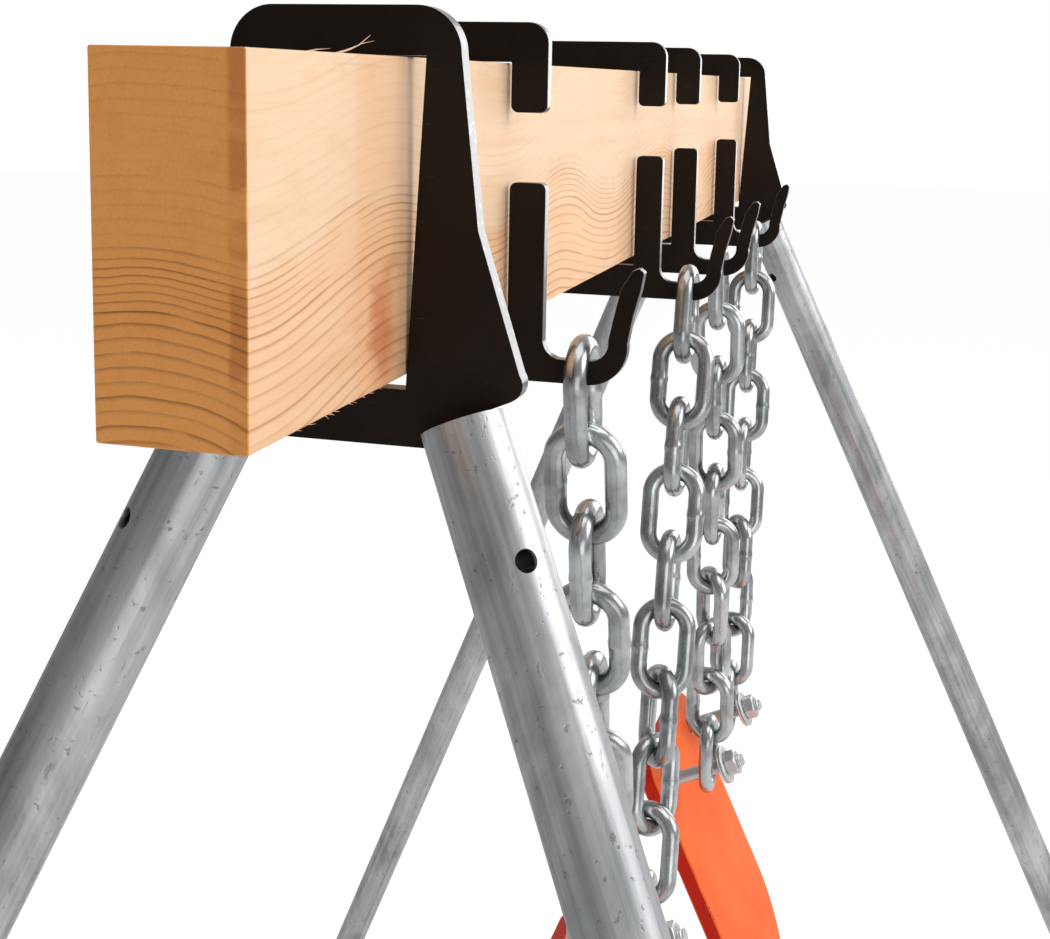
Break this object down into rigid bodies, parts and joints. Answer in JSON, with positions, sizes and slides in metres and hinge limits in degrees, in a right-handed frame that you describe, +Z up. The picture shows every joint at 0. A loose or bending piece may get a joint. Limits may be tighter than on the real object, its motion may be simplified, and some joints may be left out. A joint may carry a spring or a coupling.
{
  "type": "hanging plate stand",
  "caption": "A-frame stand with a timber beam on clamp-on steel ends and tube legs; slip-on hooks and chains carry tilting round-bottomed steel plates.",
  "frame": {"origin": "on the floor, under the middle of the beam", "axes": "+X along the beam, +Y away from the hooks, +Z up"},
  "size_m": [1.1306, 0.8092, 0.933],
  "materials": {
    "timber": "matt",
    "black_steel": "satin",
    "galvanised_tube": "satin",
    "zinc_chain": "satin",
    "orange_steel": "gloss",
    "zinc_hardware": "satin"
  },
  "bodies": {
    "stand": {"beam": "timber", "left_bracket": "black_steel", "right_bracket": "black_steel", "leg_1": "galvanised_tube", "leg_2": "galvanised_tube", "leg_3": "galvanised_tube", "leg_4": "galvanised_tube"},
    "hanger_1": {"hanger_1": "black_steel"},
    "hanger_2": {"hanger_2": "black_steel"},
    "left_chains_upper": {"chain_1_upper": "zinc_chain", "chain_2_upper": "zinc_chain"},
    "left_chains_lower": {"chain_1_lower": "zinc_chain", "chain_2_lower": "zinc_chain"},
    "left_plate": {"plate_1": "orange_steel", "bolt_1": "zinc_hardware", "washers_1": "zinc_hardware", "nut_1": "zinc_hardware", "bolt_2": "zinc_hardware", "washers_2": "zinc_hardware", "nut_2": "zinc_hardware"},
    "hanger_3": {"hanger_3": "black_steel"},
    "hanger_4": {"hanger_4": "black_steel"},
    "right_chains_upper": {"chain_3_upper": "zinc_chain", "chain_4_upper": "zinc_chain"},
    "right_chains_lower": {"chain_3_lower": "zinc_chain", "chain_4_lower": "zinc_chain"},
    "right_plate": {"plate_2": "orange_steel", "bolt_3": "zinc_hardware", "washers_3": "zinc_hardware", "nut_3": "zinc_hardware", "bolt_4": "zinc_hardware", "washers_4": "zinc_hardware", "nut_4": "zinc_hardware"}
  },
  "joints": [
    {"name": "hanger_1_slide", "type": "slide", "parent": "stand", "child": "hanger_1", "axis": [1, 0, 0], "range_m": [-0.03, 0.03]},
    {"name": "hanger_2_slide", "type": "slide", "parent": "stand", "child": "hanger_2", "axis": [1, 0, 0], "range_m": [-0.03, 0.03]},
    {"name": "left_chain_swing", "type": "hinge", "parent": "hanger_1", "child": "left_chains_upper", "pos_m": [-0.144, -0.047, 0.82414], "axis": [1, 0, 0], "range_deg": [-40, 40]},
    {"name": "left_chain_fold", "type": "hinge", "parent": "left_chains_upper", "child": "left_chains_lower", "pos_m": [-0.144, -0.047, 0.66123], "axis": [1, 0, 0], "range_deg": [-15, 15]},
    {"name": "left_plate_tilt", "type": "hinge", "parent": "left_chains_lower", "child": "left_plate", "pos_m": [-0.144, -0.047, 0.50674], "axis": [1, 0, 0], "range_deg": [-2, 40]},
    {"name": "hanger_3_slide", "type": "slide", "parent": "stand", "child": "hanger_3", "axis": [1, 0, 0], "range_m": [-0.03, 0.03]},
    {"name": "hanger_4_slide", "type": "slide", "parent": "stand", "child": "hanger_4", "axis": [1, 0, 0], "range_m": [-0.03, 0.03]},
    {"name": "right_chain_swing", "type": "hinge", "parent": "hanger_3", "child": "right_chains_upper", "pos_m": [0.142, -0.047, 0.82414], "axis": [1, 0, 0], "range_deg": [-40, 40]},
    {"name": "right_chain_fold", "type": "hinge", "parent": "right_chains_upper", "child": "right_chains_lower", "pos_m": [0.142, -0.047, 0.65857], "axis": [1, 0, 0], "range_deg": [-15, 15]},
    {"name": "right_plate_tilt", "type": "hinge", "parent": "right_chains_lower", "child": "right_plate", "pos_m": [0.142, -0.047, 0.50137], "axis": [1, 0, 0], "range_deg": [-2, 40]}
  ],
  "couplings": [
    {"joint": "hanger_2_slide", "follows": "hanger_1_slide", "ratio": 1},
    {"joint": "hanger_4_slide", "follows": "hanger_3_slide", "ratio": 1}
  ]
}
